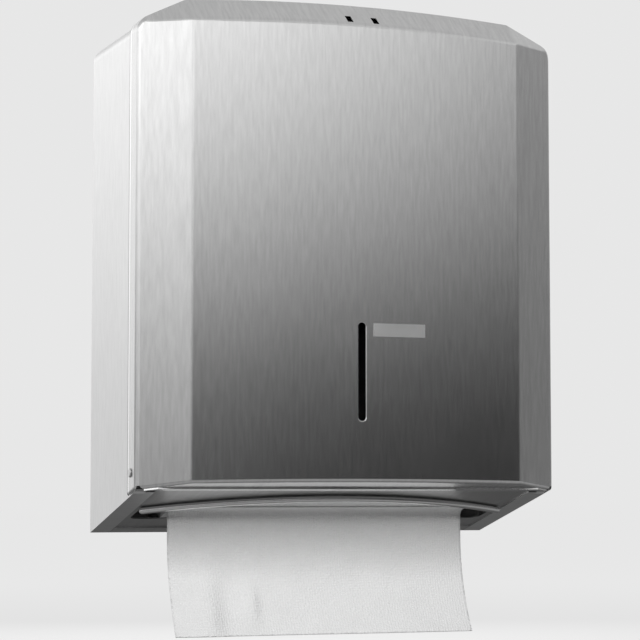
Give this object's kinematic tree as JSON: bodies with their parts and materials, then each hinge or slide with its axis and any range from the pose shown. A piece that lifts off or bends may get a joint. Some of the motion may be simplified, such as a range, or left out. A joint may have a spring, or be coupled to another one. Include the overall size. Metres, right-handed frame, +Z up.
{
  "type": "paper towel dispenser",
  "caption": "Wall-mounted dispenser for folded hand towels: slanted tray with a curved mouth in a shallow steel case, and a bevelled front cover that tilts open once its latch is pressed.",
  "frame": {"origin": "centre of the four wall-screw holes, on the wall plane", "axes": "+X to the right of someone facing the dispenser, +Y into the wall, +Z up"},
  "size_m": [0.2922, 0.1347, 0.4132],
  "materials": {
    "cover_steel": "satin stainless steel with a fine vertical grain",
    "case_steel": "satin stainless steel with a fine vertical grain",
    "inner_steel": "mill-finish stainless steel",
    "rod_steel": "polished stainless rod",
    "plate_steel": "bare satin plate",
    "rivet_steel": "smooth rivet heads",
    "spring_steel": "blued spring steel",
    "nylon": "natural nylon",
    "towel_paper": "soft embossed paper"
  },
  "bodies": {
    "case": {"back_plate": "inner_steel", "case_wrap": "case_steel", "towel_tray": "inner_steel", "lip_rod": "rod_steel", "guide_left": "inner_steel", "guide_right": "inner_steel", "guide_rivets": "rivet_steel", "hinge_pin_left": "rivet_steel", "hinge_pin_right": "rivet_steel", "hinge_washer_left": "nylon", "hinge_washer_right": "nylon", "hinge_clip_left": "spring_steel", "hinge_clip_right": "spring_steel", "latch_root": "spring_steel", "latch_rivets": "rivet_steel", "towel_stack": "towel_paper"},
    "cover": {"front_cover": "cover_steel", "cover_catch": "inner_steel", "name_plate": "plate_steel"},
    "latch": {"latch_blade": "spring_steel"},
    "towel": {"hanging_towel": "towel_paper"}
  },
  "joints": [
    {"name": "cover_hinge", "type": "hinge", "parent": "case", "child": "cover", "pos_m": [0, -0.104, -0.161], "axis": [1, 0, 0], "range_deg": [0, 45], "deforming": ["latch_blade"]},
    {"name": "latch_press", "type": "hinge", "parent": "case", "child": "latch", "pos_m": [0, -0.06415, 0.1426], "axis": [1, 0, 0], "range_deg": [0, 5], "stiffness_Nm_per_rad": 2},
    {"name": "towel_pull", "type": "slide", "parent": "case", "child": "towel", "axis": [0, 0, -1], "range_m": [0, 0.09]}
  ]
}
